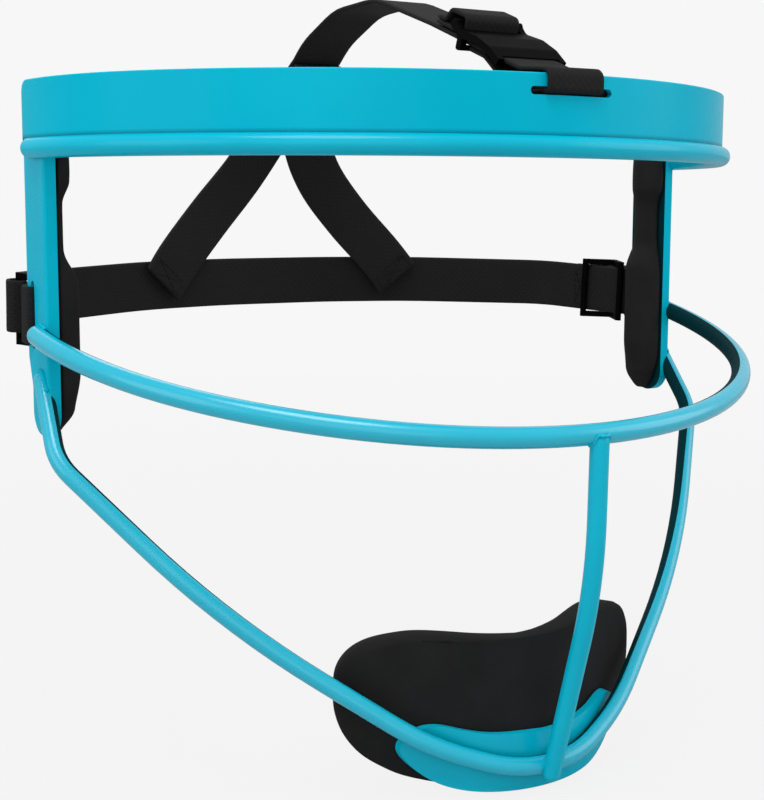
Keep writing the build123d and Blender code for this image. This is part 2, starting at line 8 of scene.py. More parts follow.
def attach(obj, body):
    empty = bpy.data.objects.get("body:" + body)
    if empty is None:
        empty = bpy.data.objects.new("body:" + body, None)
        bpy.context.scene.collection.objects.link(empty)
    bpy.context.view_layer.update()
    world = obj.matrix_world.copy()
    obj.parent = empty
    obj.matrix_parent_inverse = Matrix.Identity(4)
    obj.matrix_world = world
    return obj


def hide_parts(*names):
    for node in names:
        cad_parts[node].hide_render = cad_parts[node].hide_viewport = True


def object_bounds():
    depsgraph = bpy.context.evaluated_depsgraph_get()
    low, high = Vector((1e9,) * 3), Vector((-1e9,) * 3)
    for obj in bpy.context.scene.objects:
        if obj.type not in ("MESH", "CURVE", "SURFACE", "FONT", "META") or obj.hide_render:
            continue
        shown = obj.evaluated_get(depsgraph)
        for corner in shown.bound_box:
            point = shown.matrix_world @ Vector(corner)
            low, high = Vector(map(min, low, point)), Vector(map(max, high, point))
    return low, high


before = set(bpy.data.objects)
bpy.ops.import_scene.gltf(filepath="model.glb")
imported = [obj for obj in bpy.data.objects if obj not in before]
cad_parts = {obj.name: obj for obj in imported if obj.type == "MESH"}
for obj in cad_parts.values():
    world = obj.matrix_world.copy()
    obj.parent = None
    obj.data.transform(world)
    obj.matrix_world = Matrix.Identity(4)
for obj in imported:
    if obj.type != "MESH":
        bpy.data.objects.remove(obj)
cad_low, cad_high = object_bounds()
mm = 0.001

# The room: a guard photographed on a plain pale sweep from in front of the wearer's right
# temple, level with the brow. A large soft lamp hangs over the camera, weaker ones fill
# from both sides and from behind, and the rest of the light comes from all round.
camera_place = Vector((-205.0, -341.93, 3.43)) * mm
camera_turn = math.radians(-30.96)
camera_dip = math.radians(7.48)
camera_roll = math.radians(0.19)
camera_lens = 70.69
camera_sensor = 36.0
camera_near = 0.01
sweep_colour = (0.93, 0.93, 0.93, 1.0)
room_strength = 0.64
sweep_share = 0.93
sweep_fade = (0.25, 0.9)
floor_colour = (0.50, 0.50, 0.50, 1.0)
floor_gap = 1.5 * mm
floor_half = 4.0
lamps = [
    ("lamp_over", (-0.33, -0.42, 1.12), 0.7, 7.5),
    ("lamp_front", (-0.55, -0.95, 0.2), 0.9, 1.3),
    ("lamp_left", (-1.0, -0.15, 0.25), 0.8, 2.0),
    ("lamp_fill", (0.95, -0.55, 0.35), 0.9, 3.0),
    ("lamp_back", (0.2, 1.1, 0.8), 0.9, 2.5),
]


class Shade:
    """A socket of a shader tree. Sums and products of it add Math nodes to the tree."""

    def __init__(self, tree, socket=None):
        self.tree = tree
        self.socket = socket

    def node(self, kind, sockets=None, output=0, **settings):
        """A node of any kind: its settings first, then its sockets' values or links."""
        made = self.tree.nodes.new(kind)
        for name, value in settings.items():
            setattr(made, name, value)
        for name, value in (sockets or {}).items():
            if isinstance(value, Shade):
                self.tree.links.new(value.socket, made.inputs[name])
            else:
                made.inputs[name].default_value = value
        return Shade(self.tree, made.outputs[output])

    def maths(self, operation, first, second=0.0):
        return self.node("ShaderNodeMath", {0: first, 1: second}, operation=operation)

    def __add__(self, other):
        return self.maths("ADD", self, other)

    def __sub__(self, other):
        return self.maths("SUBTRACT", self, other)

    def __rsub__(self, other):
        return self.maths("SUBTRACT", other, self)

    def __mul__(self, other):
        return self.maths("MULTIPLY", self, other)

    def __truediv__(self, other):
        return self.maths("DIVIDE", self, other)

    def ramped(self, low, high):
        """0 below low and 1 above high, straight between."""
        return self.node("ShaderNodeMapRange", {0: self, 1: low, 2: high}, clamp=True)

    def mixed(self, amount, first, second):
        """Two colours mixed by an amount."""
        return self.node("ShaderNodeMix", {0: amount, 6: first, 7: second}, 2, data_type="RGBA")


def new_material(name):
    """A fresh material: itself, a start for its maths, and its shader's sockets."""
    material = bpy.data.materials.new(name)
    material.use_nodes = True
    tree = material.node_tree
    return material, Shade(tree), tree.nodes["Principled BSDF"].inputs


def set_sockets(sockets, **values):
    """Values or links for a shader's sockets, named with _ for a space."""
    for name, value in values.items():
        socket = sockets[name.replace("_", " ")]
        if isinstance(value, Shade):
            value.tree.links.new(value.socket, socket)
        else:
            socket.default_value = value


forward = Vector((
    -math.sin(camera_turn) * math.cos(camera_dip),
    math.cos(camera_turn) * math.cos(camera_dip),
    -math.sin(camera_dip),
))
level = Vector((math.cos(camera_turn), math.sin(camera_turn), 0.0))
upright = level.cross(forward)
right = math.cos(camera_roll) * level + math.sin(camera_roll) * upright
upward = math.cos(camera_roll) * upright - math.sin(camera_roll) * level
camera = bpy.data.objects.new("camera", bpy.data.cameras.new("camera"))
camera_axes = Matrix((right, upward, -forward)).transposed().to_4x4()
camera.matrix_world = Matrix.Translation(camera_place) @ camera_axes
camera.data.sensor_fit = "HORIZONTAL"
camera.data.sensor_width = camera_sensor
camera.data.lens = camera_lens
camera.data.clip_start = camera_near
bpy.context.collection.objects.link(camera)
bpy.context.scene.camera = camera
bpy.context.scene.view_settings.view_transform = "Standard"

for lamp_name, lamp_place, lamp_size, lamp_power in lamps:
    lamp = bpy.data.lights.new(lamp_name, "AREA")
    lamp.shape = "DISK"
    lamp.size = lamp_size
    lamp.energy = lamp_power
    lamp_object = bpy.data.objects.new(lamp_name, lamp)
    lamp_object.location = lamp_place
    lamp_object.rotation_euler = (-Vector(lamp_place)).to_track_quat("-Z", "Y").to_euler()
    bpy.context.collection.objects.link(lamp_object)

room = bpy.data.worlds.new("room")
room.use_nodes = True
bpy.context.scene.world = room
room_start = Shade(room.node_tree)
seen_rays = room_start.node("ShaderNodeLightPath", output="Is Camera Ray")
seen_rays = seen_rays + room_start.node("ShaderNodeLightPath", output="Is Transmission Ray")
room_light = room_start.mixed(seen_rays, (room_strength,) * 3 + (1.0,), sweep_colour)
room_start.tree.links.new(room_light.socket, room.node_tree.nodes["Background"].inputs["Color"])

floor_material = bpy.data.materials.new("pale_sweep")
floor_material.use_nodes = True
floor_nodes = floor_material.node_tree.nodes
floor_start = Shade(floor_material.node_tree)
floor_seen = floor_start.node("ShaderNodeLightPath", output="Is Camera Ray")
floor_seen = floor_seen + floor_start.node("ShaderNodeLightPath", output="Is Transmission Ray")
floor_glow = floor_start.node("ShaderNodeEmission", {"Color": sweep_colour})
floor_paint = floor_start.node("ShaderNodeBsdfDiffuse", {"Color": floor_colour})
floor_place = floor_start.node("ShaderNodeTexCoord", output="Object")
floor_reach = floor_start.node("ShaderNodeVectorMath", {0: floor_place}, "Value", operation="LENGTH")
floor_share = floor_reach.ramped(*sweep_fade) * (1.0 - sweep_share) + sweep_share
floor_mix = floor_start.node(
    "ShaderNodeMixShader",
    {0: floor_seen * floor_share, 1: floor_paint, 2: floor_glow},
)
floor_start.tree.links.new(floor_mix.socket, floor_nodes["Material Output"].inputs["Surface"])
floor_mesh = bpy.data.meshes.new("floor")
floor_z = cad_low.z - floor_gap
floor_mesh.from_pydata(
    [(x * floor_half, y * floor_half, floor_z) for x, y in ((-1, -1), (1, -1), (1, 1), (-1, 1))],
    [],
    [(0, 1, 2, 3)],
)
floor_mesh.materials.append(floor_material)
floor = bpy.data.objects.new("floor", floor_mesh)
bpy.context.collection.objects.link(floor)


# The welded frame: four round wires, a flat-bar plate at each temple, a sheet band over the
# brow and a pressed chin plate. It is dipped in one satin powder coat, which goes on thin
# and dark where it faces the head.
coat_colour = (0.0, 0.420, 0.585, 1.0)
coat_light = (0.002, 0.462, 0.632, 1.0)
coat_inside = (0.0012, 0.028, 0.034, 1.0)
head_middle = (0.0, 12.0 * mm, 0.0)
inside_edge = 0.10
inside_fade = 0.03
# Painted shade in the crease above the brow wire: where it starts, how high it reaches and how dark it is.
crease_z = 18.0 * mm
crease_height = 1.0 * mm
crease_shade_share = 0.55
flat_gloss = (0.05, 0.20, 1.5)
front_gloss = (0.35, 0.20, 1.5)
wire_gloss = (1.0, 0.24, 1.6)


def powder_coat(name, inside_share, gloss, crease_shade_share=0.0):
    """Satin powder coat with a fine orange peel, darker by a share where it faces the head, and with
    painted shade by another share in the crease above the brow wire. Gloss: weight, roughness and index."""
    material, start, sockets = new_material(name)
    place = start.node("ShaderNodeTexCoord", output="Object")
    facing = start.node("ShaderNodeTexCoord", output="Normal")
    toward = start.node("ShaderNodeVectorMath", {0: head_middle, 1: place}, operation="SUBTRACT")
    toward = start.node("ShaderNodeVectorMath", {0: toward, 1: (1.0, 1.0, 0.0)}, operation="MULTIPLY")
    toward = start.node("ShaderNodeVectorMath", {0: toward}, operation="NORMALIZE")
    inward = start.node("ShaderNodeVectorMath", {0: toward, 1: facing}, "Value", operation="DOT_PRODUCT")
    inside = inward.ramped(inside_edge, inside_edge + inside_fade) * inside_share
    cloud = start.node("ShaderNodeTexNoise", {"Vector": place, "Scale": 28.0, "Detail": 3.0})
    grain = start.node("ShaderNodeTexNoise", {"Vector": place, "Scale": 2600.0, "Detail": 2.0})
    peel = start.node("ShaderNodeTexNoise", {"Vector": place, "Scale": 900.0, "Detail": 3.0})
    colour = start.mixed(cloud.ramped(0.3, 0.7), coat_colour, coat_light)
    colour = start.mixed(inside, colour, coat_inside)
    # Painted shade: a thin strip of the band just above the brow wire is darkened towards the inside
    # colour, standing in for the wire's shadow in the crease.
    if crease_shade_share:
        level_z = start.node("ShaderNodeSeparateXYZ", {0: place}, "Z")
        crease_shade_mask = 1 - level_z.ramped(crease_z, crease_z + crease_height)
        colour = start.mixed(crease_shade_mask * crease_shade_share, colour, coat_inside)
    height = peel + grain * 0.3
    bump = start.node("ShaderNodeBump", {"Height": height, "Distance": 0.03 * mm, "Strength": 0.25})
    set_sockets(
        sockets,
        Base_Color=colour,
        Roughness=cloud * 0.08 + grain * 0.05 + inside * 0.30 + 0.20,
        Normal=bump,
        Specular_IOR_Level=0.02,
        Coat_Weight=(1 - inside) * gloss[0],
        Coat_Roughness=gloss[1],
        Coat_IOR=gloss[2],
    )
    return material


def finish_node(node, material):
    """A CAD node that keeps its shape gets its finish."""
    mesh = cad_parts[node].data
    mesh.materials.clear()
    mesh.materials.append(material)


coat = powder_coat("powder_coat", 1.0, flat_gloss)
# The band's coat carries the painted crease shade above the brow wire.
coat_band = powder_coat("powder_coat_band", 1.0, flat_gloss, crease_shade_share)
coat_wire = powder_coat("powder_coat_wire", 1.0, wire_gloss)
coat_plain = powder_coat("powder_coat_front", 0.0, front_gloss)
finish_node("forehead_band", coat_band)
for coated in ("temple_plate_left", "temple_plate_right"):
    finish_node(coated, coat)
for coated in ("face_wire", "chin_wire"):
    finish_node(coated, coat_wire)
for coated in ("brow_wire", "centre_wire", "chin_plate"):
    finish_node(coated, coat_plain)


# The welds: where a wire meets a plate or another wire, a small rippled bead is left under
# the coat. It runs round each wire's end on the plates, round the top of the centre wire,
# and down both sides of its foot.
plate_bead = 0.6
wire_bead = 0.38
bead_ripple = 0.14
bead_pitch = 0.95
bead_sides = 10
bead_end_share = 0.3
bead_steps = 5
wire_half = 2.2
plate_face_x = 94.35
chin_end = Vector((-2.6, -38.0))
chin_run = Vector((-12.8, -17.4)).normalized()
chin_reaches = (9.6, 4.4)
face_end = Vector((-4.1, -27.3))
face_run = Vector((-0.977, -0.211))
face_reaches = (2.6, 2.6)
face_middle = Vector((-90.5, -45.98))
face_radius = 2.4
top_ring_radius = 2.15
top_ring_ahead = 1.1
top_ring_steps = 16
foot_middle = Vector((-76.2, -125.6))
foot_half = 1.75
foot_step = (0.1, 0.8)
round_steps = 8
flank_shares = (0.2, 0.6, 1.0)


def smooth_through(points, steps):
    """A smooth line through points, as many steps to each stretch."""
    line = []
    vectors = [Vector(point) for point in points]
    for index in range(len(vectors) - 1):
        first = vectors[max(index - 1, 0)]
        here, after = vectors[index], vectors[index + 1]
        last = vectors[min(index + 2, len(vectors) - 1)]
        for step in range(steps):
            t = step / steps
            line.append(
                0.5
                * (
                    2 * here
                    + (after - first) * t
                    + (2 * first - 5 * here + 4 * after - last) * t**2
                    + (3 * here - first - 3 * after + last) * t**3
                )
            )
    line.append(vectors[-1])
    return line


def joined(made, rings, capped):
    """Faces between each ring of verts and the next, and over both ends where they are capped."""
    for lower, upper in zip(rings, rings[1:]):
        for index in range(len(lower)):
            after = (index + 1) % len(lower)
            made.faces.new([lower[index], lower[after], upper[after], upper[index]])
    if capped:
        made.faces.new(rings[0][::-1])
        made.faces.new(rings[-1])


def finished(made, name):
    """The mesh of a finished bmesh, its faces turned outwards."""
    bmesh.ops.recalc_face_normals(made, faces=made.faces)
    mesh = bpy.data.meshes.new(name)
    made.to_mesh(mesh)
    made.free()
    return mesh


def new_piece(name, mesh, material, body):
    """A finished mesh as a smooth piece that rides on a body."""
    for face in mesh.polygons:
        face.use_smooth = True
    mesh.materials.append(material)
    piece = bpy.data.objects.new(name, mesh)
    bpy.context.collection.objects.link(piece)
    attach(piece, body)
    return piece


def weld_bead(name, points, bead_radius, finish, closed=False):
    """A rippled bead along points given in millimetres, tapering to nothing at open ends."""
    line = smooth_through(points + [points[0]] if closed else points, bead_steps)
    made = bmesh.new()
    rings = []
    distance = 0.0
    for index, here in enumerate(line):
        before, after = line[max(index - 1, 0)], line[min(index + 1, len(line) - 1)]
        run = (after - before).normalized()
        distance += (here - before).length
        first = run.orthogonal() if index == 0 else first - run * first.dot(run)
        first.normalize()
        second = run.cross(first)
        radius = bead_radius * (1 + bead_ripple * math.sin(math.tau * distance / bead_pitch))
        if not closed and index in (0, len(line) - 1):
            radius *= bead_end_share
        ring = []
        for step in range(bead_sides):
            angle = math.tau * step / bead_sides
            arm = first * math.cos(angle) + second * math.sin(angle)
            ring.append(made.verts.new((here + arm * radius) * mm))
        rings.append(ring)
    joined(made, rings, True)
    new_piece(name, finished(made, name), finish, "guard")


def round_end(end, run, half_width, reaches):
    """Plan of a bead round the end of a bar: up one side, round it and down the other."""
    out = Vector((-run.y, run.x))
    plan = [end + out * half_width + run * (reaches[0] * share) for share in flank_shares[::-1]]
    for step in range(1, round_steps):
        angle = math.pi * step / round_steps
        plan.append(end + out * half_width * math.cos(angle) - run * half_width * math.sin(angle))
    plan += [end - out * half_width + run * (reaches[1] * share) for share in flank_shares]
    return plan


for side, side_name in ((1, "left"), (-1, "right")):
    for weld_name, end, run, reaches in (
        ("chin_weld", chin_end, chin_run, chin_reaches),
        ("face_weld", face_end, face_run, face_reaches),
    ):
        plan = round_end(end, run, wire_half, reaches)
        on_plate = [Vector((side * plate_face_x, y, z)) for y, z in plan]
        weld_bead(f"{weld_name}_{side_name}", on_plate, plate_bead, coat)
    foot_line = []
    for step in range(-2, 3):
        foot_y = foot_middle.x + foot_step[0] * step
        foot_z = foot_middle.y - foot_step[1] * step
        foot_line.append(Vector((side * foot_half, foot_y, foot_z)))
    weld_bead(f"foot_weld_{side_name}", foot_line, wire_bead, coat_plain)

top_ring = []
for step in range(top_ring_steps):
    angle = math.tau * step / top_ring_steps
    ring_y = face_middle.x - top_ring_ahead + top_ring_radius * math.sin(angle)
    drop = math.sqrt(max(face_radius**2 - (ring_y - face_middle.x) ** 2, 0.0))
    top_ring.append(Vector((top_ring_radius * math.cos(angle), ring_y, face_middle.y - drop)))
weld_bead("centre_weld", top_ring, wire_bead, coat_plain, closed=True)


# The pads: moulded closed-cell foam under a fine black knit, rounded at the edges and
# crowned towards the skin. Hook tape holds each one to the metal behind it.
foam_colour = (0.0125, 0.0125, 0.0130, 1.0)
foam_light = (0.0165, 0.0165, 0.0170, 1.0)
pad_steps = 110
pad_columns = 8
pad_merge = 0.002
crown_power = 4
crown_taper = 0.7
outline_steps = 8


def knit_foam():
    """Black foam with a fine knit face: rows of small loops over soft colour clouds."""
    material, start, sockets = new_material("knit_foam")
    place = start.node("ShaderNodeTexCoord", output="Object")
    cloud = start.node("ShaderNodeTexNoise", {"Vector": place, "Scale": 90.0, "Detail": 4.0})
    loops = start.node("ShaderNodeTexVoronoi", {"Vector": place, "Scale": 1500.0})
    pits = start.node("ShaderNodeTexNoise", {"Vector": place, "Scale": 700.0, "Detail": 5.0})
    colour = start.mixed(cloud.ramped(0.3, 0.7), foam_colour, foam_light)
    height = pits * 0.6 - loops
    bump = start.node("ShaderNodeBump", {"Height": height, "Distance": 0.10 * mm, "Strength": 0.5})
    set_sockets(
        sockets,
        Base_Color=colour,
        Roughness=cloud * 0.12 + 0.78,
        Normal=bump,
        Specular_IOR_Level=0.07,
    )
    return material


foam = knit_foam()


def shifted_inward(outline, amount):
    """A closed outline, listed anticlockwise, moved inwards by an amount."""
    moved = []
    for index, here in enumerate(outline):
        before = outline[index - 1]
        after = outline[(index + 1) % len(outline)]
        run = (after[0] - before[0], after[1] - before[1])
        length = math.hypot(*run) or 1.0
        moved.append((here[0] - run[1] / length * amount, here[1] + run[0] / length * amount))
    return moved


def pad_mesh(name, half, columns, profile, crown, place):
    """A pad from half its outline: half widths and places along it, from end to end.
    The profile gives insets and heights of its rim, and crown the rise over its width."""
    outline = half + [(-half_width, along) for half_width, along in reversed(half)]
    rows = len(half)
    made = bmesh.new()

    def rows_of(ring, height, rise):
        """Rows across the pad between the two sides of a ring, raised in the middle."""
        grid = []
        widest = max(point[0] for point in ring[:rows])
        for row in range(rows):
            start_point, end_point = ring[row], ring[2 * rows - 1 - row]
            inner = []
            for column in range(1, columns):
                share = column / columns
                across = start_point[0] + (end_point[0] - start_point[0]) * share
                along = start_point[1] + (end_point[1] - start_point[1]) * share
                swell = rise * (1 - (2 * share - 1) ** crown_power)
                swell *= (abs(start_point[0]) / widest) ** crown_taper
                inner.append(made.verts.new(place(across, along, height + swell)))
            grid.append(inner)
        return grid

    def close(ring_verts, grid, flip):
        """Faces between a ring's verts and the rows inside it."""
        lines = [[ring_verts[row], *grid[row], ring_verts[2 * rows - 1 - row]] for row in range(rows)]
        for lower, upper in zip(lines, lines[1:]):
            for index in range(columns):
                quad = [lower[index], lower[index + 1], upper[index + 1], upper[index]]
                made.faces.new(quad[::-1] if flip else quad)
        made.faces.new(lines[0] if flip else lines[0][::-1])
        made.faces.new(lines[-1][::-1] if flip else lines[-1])

    plans = [shifted_inward(outline, inset) for inset, _ in profile]
    heights = [height for _, height in profile]
    rings = [[made.verts.new(place(x, y, height)) for x, y in plan] for plan, height in zip(plans, heights)]
    joined(made, rings, False)
    close(rings[0], rows_of(plans[0], heights[0], 0.0), True)
    close(rings[-1], rows_of(plans[-1], heights[-1], crown), False)
    bmesh.ops.remove_doubles(made, verts=made.verts, dist=pad_merge * mm)
    return finished(made, name)


def as_metres(points):
    return [tuple(value * mm for value in point) for point in points]


def even_steps(line, count):
    """Points at even distances along a line."""
    lengths = [0.0]
    for first, second in zip(line, line[1:]):
        lengths.append(lengths[-1] + (Vector(second) - Vector(first)).length)
    points = []
    index = 0
    for step in range(count + 1):
        want = lengths[-1] * step / count
        while index < len(line) - 2 and lengths[index + 1] < want:
            index += 1
        run = lengths[index + 1] - lengths[index] or 1.0
        points.append(Vector(line[index]).lerp(Vector(line[index + 1]), (want - lengths[index]) / run))
    return points


# Hook tape: a black strip glued to the metal behind each pad, covered in close rows of
# small hooks. Only its edges are seen.
tape_colour = (0.0075, 0.0075, 0.0080, 1.0)
tape_light = (0.0140, 0.0140, 0.0145, 1.0)
tape_thickness = 0.6
tape_profile = [(0.05, 0.0), (0.0, 0.1), (0.0, 0.5), (0.1, tape_thickness)]
temple_tape_y = -1.7
temple_tape_half = [(1.9, -42.0), (2.2, -41.4), (2.2, 11.4), (1.9, 12.0)]
forehead_tape_rise = 0.9
forehead_tape_half = [(2.5, -62.0), (2.8, -61.4), (2.8, 61.4), (2.5, 62.0)]
chin_tape_half = [(19.4, -128.2), (20.0, -127.6), (20.0, -120.6), (19.4, -120.0)]


def hook_tape():
    """Black tape with close rows of small hooks."""
    material, start, sockets = new_material("hook_tape")
    place = start.node("ShaderNodeTexCoord", output="Object")
    hooks = start.node("ShaderNodeTexVoronoi", {"Vector": place, "Scale": 900.0})
    colour = start.mixed(hooks, tape_colour, tape_light)
    bump = start.node("ShaderNodeBump", {"Height": hooks, "Distance": 0.2 * mm, "Strength": 0.7})
    set_sockets(
        sockets,
        Base_Color=colour,
        Roughness=0.9,
        Normal=bump,
        Specular_IOR_Level=0.12,
    )
    return material


tape_finish = hook_tape()


def tape_strip(name, half, columns, place, node):
    """A strip of hook tape that stands for its CAD node."""
    line = even_steps(half, pad_steps // 2)
    mesh = pad_mesh(name, as_metres(line), columns, as_metres(tape_profile), 0.0, place)
    strip = new_piece(name, mesh, tape_finish, "guard")
    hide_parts(node)


def cushion(name, half, columns, profile, crown, place, node):
    """A foam pad that stands for its CAD node, its half outline smoothed through the points."""
    line = even_steps(smooth_through(half, outline_steps), pad_steps)
    rim = [(max(x, 0.0) * mm, y * mm) for x, y in line]
    mesh = pad_mesh(name, rim, columns, as_metres(profile), crown * mm, place)
    piece = new_piece(name, mesh, foam, "guard")
    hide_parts(node)


# Temple pads: a small bulge over the temple, a narrow neck and a long lobe on the cheekbone,
# thickest towards the front and thin at the rear edge, where the strap passes them.
temple_face_x = 90.6
temple_crown = 0.3
temple_half = [
    (1.2, 20.45),
    (2.9, 20.1),
    (5.1, 18.6),
    (6.3, 15.2),
    (6.7, 10.8),
    (6.2, 7.2),
    (5.2, 4.8),
    (4.8, 2.0),
    (4.8, -3.4),
    (4.9, -7.0),
    (5.5, -9.8),
    (6.5, -12.6),
    (7.2, -16.5),
    (7.3, -24.0),
    (7.3, -32.0),
    (7.3, -37.0),
    (6.8, -42.2),
    (5.2, -46.8),
    (2.7, -50.0),
    (1.2, -50.8),
]
temple_profile = [(0.4, 0.0), (0.05, 0.25), (0.0, 0.7), (0.1, 1.5), (0.4, 2.25), (0.9, 2.8), (1.7, 3.1)]
temple_forms = [
    (21.0, -0.8, 1.06),
    (8.0, -0.8, 1.06),
    (3.0, -0.5, 0.66),
    (-7.5, -0.5, 0.66),
    (-15.5, 0.1, 1.6),
    (-36.0, 0.1, 1.6),
    (-45.0, 0.1, 1.25),
    (-51.0, 0.1, 0.45),
]
temple_slope = 0.95
temple_half_width = 7.4
temple_relief = (0.6, 1.2)
temple_relief_z = (-30.4, -15.4)

for side, side_name in ((1, "left"), (-1, "right")):

    def temple_place(across, along, height):
        """Set back and thicker or thinner by how high up the pad it is, and thin to the rear."""
        middle, thick = temple_forms[-1][1:]
        for (top_z, *above), (low_z, *below) in zip(temple_forms, temple_forms[1:]):
            if low_z * mm <= along <= top_z * mm:
                share = (top_z * mm - along) / ((top_z - low_z) * mm)
                share = share * share * (3 - 2 * share)
                middle = above[0] + (below[0] - above[0]) * share
                thick = above[1] + (below[1] - above[1]) * share
        y = middle * mm + across
        deep = height * thick * (1 - temple_slope * (max(across, 0.0) / (temple_half_width * mm)) ** 2)
        if y > temple_relief[0] * mm and temple_relief_z[0] * mm < along < temple_relief_z[1] * mm:
            deep = max(deep, temple_relief[1] * mm)
        return (side * (temple_face_x * mm - deep), y, along)

    def temple_tape_place(across, along, height):
        x = (temple_face_x + tape_thickness) * mm - height
        return (side * x, temple_tape_y * mm + across, along)

    cushion(
        f"temple_cushion_{side_name}",
        temple_half[::-1],
        pad_columns,
        temple_profile,
        temple_crown,
        temple_place,
        f"temple_pad_{side_name}",
    )
    tape_strip(
        f"temple_tape_strip_{side_name}",
        temple_tape_half,
        2,
        temple_tape_place,
        f"temple_tape_{side_name}",
    )

# Forehead pad: a bar of the same foam along the inside of the band. It stands a little
# above the band, except behind the slot, where the top strap comes through.
forehead_radius = 100.0
forehead_centre_y = 21.8
forehead_middle_z = 20.3
forehead_half = [
    (1.2, -74.9),
    (2.8, -74.5),
    (4.6, -72.6),
    (5.3, -69.0),
    (5.5, -60.0),
    (5.5, -20.0),
    (5.5, 20.0),
    (5.5, 60.0),
    (5.3, 69.0),
    (4.6, 72.6),
    (2.8, 74.5),
    (1.2, 74.9),
]
forehead_profile = [(1.0, 0.0), (0.3, 0.4), (0.0, 1.4), (0.0, 5.2), (0.4, 6.6), (1.1, 7.5), (2.2, 8.0)]
forehead_crown = 0.7
forehead_rise = 1.62
forehead_notch = (8.3, 9.4)


def forehead_place(across, along, height):
    """A point inside the band, higher along the upper edge except behind the slot."""
    reach = forehead_radius * mm
    turn = along / reach
    if across > 0:
        share = (abs(along) / mm - forehead_notch[0]) / (forehead_notch[1] - forehead_notch[0])
        across *= 1 + (forehead_rise - 1) * min(max(share, 0.0), 1.0)
    return (
        (reach - height) * math.sin(turn),
        forehead_centre_y * mm - (reach - height) * math.cos(turn),
        forehead_middle_z * mm + across,
    )


def forehead_tape_place(across, along, height):
    return forehead_place(across + forehead_tape_rise * mm, along, height - tape_thickness * mm)


cushion(
    "forehead_cushion",
    forehead_half,
    pad_columns,
    forehead_profile,
    forehead_crown,
    forehead_place,
    "forehead_pad",
)
tape_strip(
    "forehead_tape_strip",
    forehead_tape_half,
    pad_columns // 2,
    forehead_tape_place,
    "forehead_tape",
)

# Chin pad: a wide saddle of foam bent round the chin, lowest in the middle, with rounded
# ends that stand free of the chin plate.
nose_centre_y = -32.0
nose_radius = 38.45
nose_slope = math.radians(29.0)
chin_half = [
    (2.4, -131.2),
    (12.0, -131.0),
    (20.2, -130.4),
    (28.5, -128.6),
    (33.4, -126.4),
    (38.2, -123.0),
    (41.6, -118.4),
    (43.4, -113.2),
    (43.8, -108.0),
    (43.2, -103.2),
    (41.0, -99.4),
    (37.4, -96.8),
    (32.2, -95.3),
    (26.0, -94.7),
    (14.0, -95.6),
    (2.4, -96.4),
]
chin_profile = [(1.2, 0.0), (0.4, 0.5), (0.0, 1.6), (0.0, 5.6), (0.6, 7.2), (1.6, 8.3), (3.2, 9.0)]
chin_crown = 1.0


def chin_place(across, along, height):
    """A point of the chin cup's inner side, set out by how far it is from the middle."""
    radius = nose_radius * mm
    side_sign = -1.0 if across < 0 else 1.0
    reach = min(abs(across), radius * math.sin(nose_slope))
    turn = math.asin(reach / radius)
    beyond = abs(across) - reach
    x = reach + beyond - height * math.sin(turn)
    y = nose_centre_y * mm - (radius - height) * math.cos(turn) + beyond * math.tan(nose_slope)
    return (side_sign * x, y, along)


def chin_tape_place(across, along, height):
    return chin_place(across, along, height - tape_thickness * mm)


cushion(
    "chin_cushion",
    chin_half,
    4 * pad_columns,
    chin_profile,
    chin_crown,
    chin_place,
    "chin_pad",
)
tape_strip("chin_tape_strip", chin_tape_half, 2 * pad_columns, chin_tape_place, "chin_tape")


# The harness: flat black webbing, woven in short staggered ribs between two tight selvedges.
# The back strap is one piece that goes out through the slot of each temple plate, round the
# plate's rear edge, and back inside itself.
webbing_thickness = 1.1
sewn_gap = 0.1
back_width = 13.8
web_colour = (0.0075, 0.0075, 0.0079, 1.0)
web_light = (0.0138, 0.0138, 0.0143, 1.0)
rib_length = 1.7 * mm
rib_width = 0.86 * mm
selvedge_share = 0.93
corner_step = math.radians(9)
fewest_corner_steps = 3
shortest_step = 1e-4
longest_step = 3.0
section_shares = [
    (-1.0, 0.0),
    (-0.988, 0.6),
    (-0.95, 0.94),
    (-0.86, 1.0),
    (-0.5, 0.97),
    (0.0, 0.96),
    (0.5, 0.97),
    (0.86, 1.0),
    (0.95, 0.94),
    (0.988, 0.6),
    (1.0, 0.0),
]


def woven_webbing():
    """Black webbing: staggered ribs from each strap's own lengthwise and crosswise distances."""
    material, start, sockets = new_material("woven_webbing")
    weave = start.node("ShaderNodeAttribute", output="Vector", attribute_name="weave")
    along = start.node("ShaderNodeSeparateXYZ", {0: weave}, "X")
    across = start.node("ShaderNodeSeparateXYZ", {0: weave}, "Y")
    edge = start.node("ShaderNodeSeparateXYZ", {0: weave}, "Z")
    lane = across / rib_width
    lane_number = lane.maths("FLOOR", lane)
    beat = along / rib_length + lane_number * 0.5
    rib = beat.maths("ABSOLUTE", beat.maths("SINE", beat * math.pi))
    rounded = lane.maths("SINE", (lane - lane_number) * math.pi)
    selvedge = edge.maths("ABSOLUTE", edge).ramped(selvedge_share, selvedge_share + 0.03)
    ribs = rib * rounded * (1 - selvedge) + selvedge * 0.8
    place = start.node("ShaderNodeTexCoord", output="Object")
    fibres = start.node("ShaderNodeTexNoise", {"Vector": place, "Scale": 2400.0, "Detail": 3.0})
    cloud = start.node("ShaderNodeTexNoise", {"Vector": place, "Scale": 60.0, "Detail": 3.0})
    colour = start.mixed(ribs * 0.6 + cloud * 0.4, web_colour, web_light)
    height = ribs + fibres * 0.35
    bump = start.node("ShaderNodeBump", {"Height": height, "Distance": 0.12 * mm, "Strength": 0.35})
    set_sockets(
        sockets,
        Base_Color=colour,
        Roughness=fibres * 0.15 + 0.72,
        Normal=bump,
        Specular_IOR_Level=0.14,
    )
    return material


webbing = woven_webbing()


